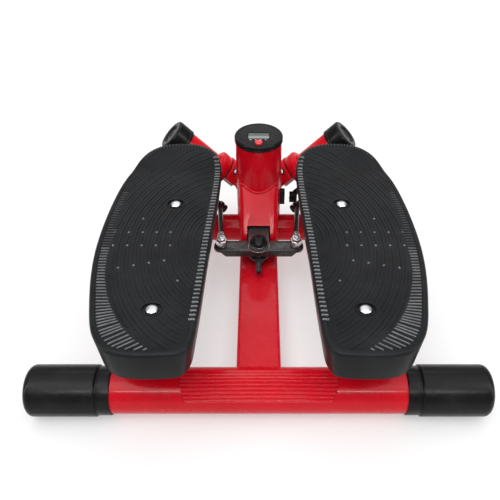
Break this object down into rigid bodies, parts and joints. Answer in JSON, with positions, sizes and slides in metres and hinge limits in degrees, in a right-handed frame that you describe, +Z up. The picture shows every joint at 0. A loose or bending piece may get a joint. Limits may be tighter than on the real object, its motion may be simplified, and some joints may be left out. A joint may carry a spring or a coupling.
{
  "type": "twist stepper",
  "caption": "Low exercise stepper with ribbed foot pedals on inclined pivots, joined by a rocker so they rise and sink in turn.",
  "frame": {"origin": "middle of the bounding box, on the floor", "axes": "+X to the user's right along the foot tubes, +Y from the heels towards the display, +Z up"},
  "size_m": [0.5, 0.391, 0.1805],
  "materials": {
    "red_paint": "glossy powder coat",
    "black_plastic": "moulded, satin",
    "pedal_plastic": "moulded, grooved tread",
    "black_steel": "black oxide",
    "zinc_steel": "zinc plated",
    "shaft_steel": "ground",
    "bush_nylon": "nylon",
    "lens_grey": "clear window over a grey display",
    "board_green": "circuit board",
    "button_red": "moulded",
    "damper_black": "gloss black"
  },
  "bodies": {
    "frame": {"rear_foot_tube": "red_paint", "rear_foot_cap_left": "black_plastic", "rear_foot_cap_right": "black_plastic", "ribbed_saddle": "red_paint", "base_beam": "red_paint", "front_foot_tube": "red_paint", "front_foot_cap_left": "black_plastic", "front_foot_cap_right": "black_plastic", "column_tube": "red_paint", "rocker_housing": "red_paint", "pivot_stub_left": "red_paint", "pivot_stub_right": "red_paint", "stub_gusset_left": "red_paint", "stub_gusset_right": "red_paint", "pivot_shaft_left": "shaft_steel", "pivot_shaft_right": "shaft_steel", "shaft_retainer_left": "zinc_steel", "shaft_retainer_right": "zinc_steel", "display_housing": "black_plastic", "display_lens": "lens_grey", "display_board": "board_green", "display_battery": "zinc_steel", "step_sensor": "black_plastic", "rocker_fork": "black_steel", "rocker_bolt": "zinc_steel", "rocker_bolt_cap": "black_plastic", "rocker_nut": "black_steel", "damper_bracket_left": "red_paint", "damper_bracket_right": "red_paint"},
    "button": {"reset_button": "button_red"},
    "arm_left": {"pivot_sleeve_left": "red_paint", "lever_lug_left": "red_paint", "link_pin_left": "black_steel", "inner_bush_left": "bush_nylon", "outer_bush_left": "bush_nylon", "sleeve_cap_left": "black_plastic", "pedal_arm_left": "red_paint", "pedal_left": "pedal_plastic", "pedal_bolt_front_left": "zinc_steel", "pedal_bolt_rear_left": "zinc_steel"},
    "arm_right": {"pivot_sleeve_right": "red_paint", "lever_lug_right": "red_paint", "link_pin_right": "black_steel", "inner_bush_right": "bush_nylon", "outer_bush_right": "bush_nylon", "sleeve_cap_right": "black_plastic", "pedal_arm_right": "red_paint", "pedal_right": "pedal_plastic", "pedal_bolt_front_right": "zinc_steel", "pedal_bolt_rear_right": "zinc_steel", "magnet_holder": "black_plastic"},
    "rocker": {"rocker_bar": "black_steel", "rocker_stud_left": "zinc_steel", "rocker_stud_right": "zinc_steel"},
    "link_left": {"link_rod_left": "black_steel"},
    "link_right": {"link_rod_right": "black_steel"},
    "damper_left": {"damper_cylinder_left": "damper_black"},
    "damper_right": {"damper_cylinder_right": "damper_black"},
    "piston_left": {"damper_rod_left": "zinc_steel"},
    "piston_right": {"damper_rod_right": "zinc_steel"}
  },
  "joints": [
    {"name": "arm_left_swing", "type": "hinge", "parent": "frame", "child": "arm_left", "pos_m": [0, 0.1675, 0.043], "axis": [-0.7071, 0, 0.7071], "range_deg": [-10, 10]},
    {"name": "arm_right_swing", "type": "hinge", "parent": "frame", "child": "arm_right", "pos_m": [0, 0.1675, 0.043], "axis": [0.7071, 0, 0.7071], "range_deg": [-10, 10]},
    {"name": "rocker_turn", "type": "hinge", "parent": "frame", "child": "rocker", "pos_m": [0, 0.0465, 0.067], "axis": [0, 0, 1], "range_deg": [-7, 7]},
    {"name": "link_left_swivel", "type": "hinge", "parent": "rocker", "child": "link_left", "pos_m": [-0.048, 0.0477, 0.073], "axis": [0.2221, -0.1364, -0.9654], "range_deg": [-9, 9]},
    {"name": "link_right_swivel", "type": "hinge", "parent": "rocker", "child": "link_right", "pos_m": [0.048, 0.0477, 0.073], "axis": [-0.2221, -0.1364, -0.9654], "range_deg": [-9, 9]},
    {"name": "damper_left_tilt", "type": "hinge", "parent": "frame", "child": "damper_left", "pos_m": [-0.14, 0.11, 0.052], "axis": [-0.7071, 0, 0.7071], "range_deg": [-5, 5]},
    {"name": "damper_right_tilt", "type": "hinge", "parent": "frame", "child": "damper_right", "pos_m": [0.14, 0.11, 0.052], "axis": [0.7071, 0, 0.7071], "range_deg": [-5, 5]},
    {"name": "damper_left_stroke", "type": "slide", "parent": "damper_left", "child": "piston_left", "axis": [0.5979, -0.5339, 0.5979], "range_m": [-0.0175, 0.0175]},
    {"name": "damper_right_stroke", "type": "slide", "parent": "damper_right", "child": "piston_right", "axis": [-0.5979, -0.5339, 0.5979], "range_m": [-0.0175, 0.0175]},
    {"name": "reset_press", "type": "slide", "parent": "frame", "child": "button", "axis": [0, 0, -1], "range_m": [0, 0.0015], "stiffness_N_per_m": 600, "springref_m": -0.0005}
  ],
  "couplings": [
    {"joint": "arm_right_swing", "follows": "arm_left_swing", "ratio": 1},
    {"joint": "rocker_turn", "follows": "arm_left_swing", "ratio": 0.6748},
    {"joint": "link_left_swivel", "follows": "arm_left_swing", "ratio": 0.8828},
    {"joint": "link_right_swivel", "follows": "arm_left_swing", "ratio": 0.8828},
    {"joint": "damper_left_tilt", "follows": "arm_left_swing", "ratio": 0.4912},
    {"joint": "damper_right_tilt", "follows": "arm_left_swing", "ratio": 0.4912},
    {"joint": "damper_left_stroke", "follows": "arm_left_swing", "m_per_rad": 0.09798},
    {"joint": "damper_right_stroke", "follows": "arm_left_swing", "m_per_rad": -0.09798}
  ]
}
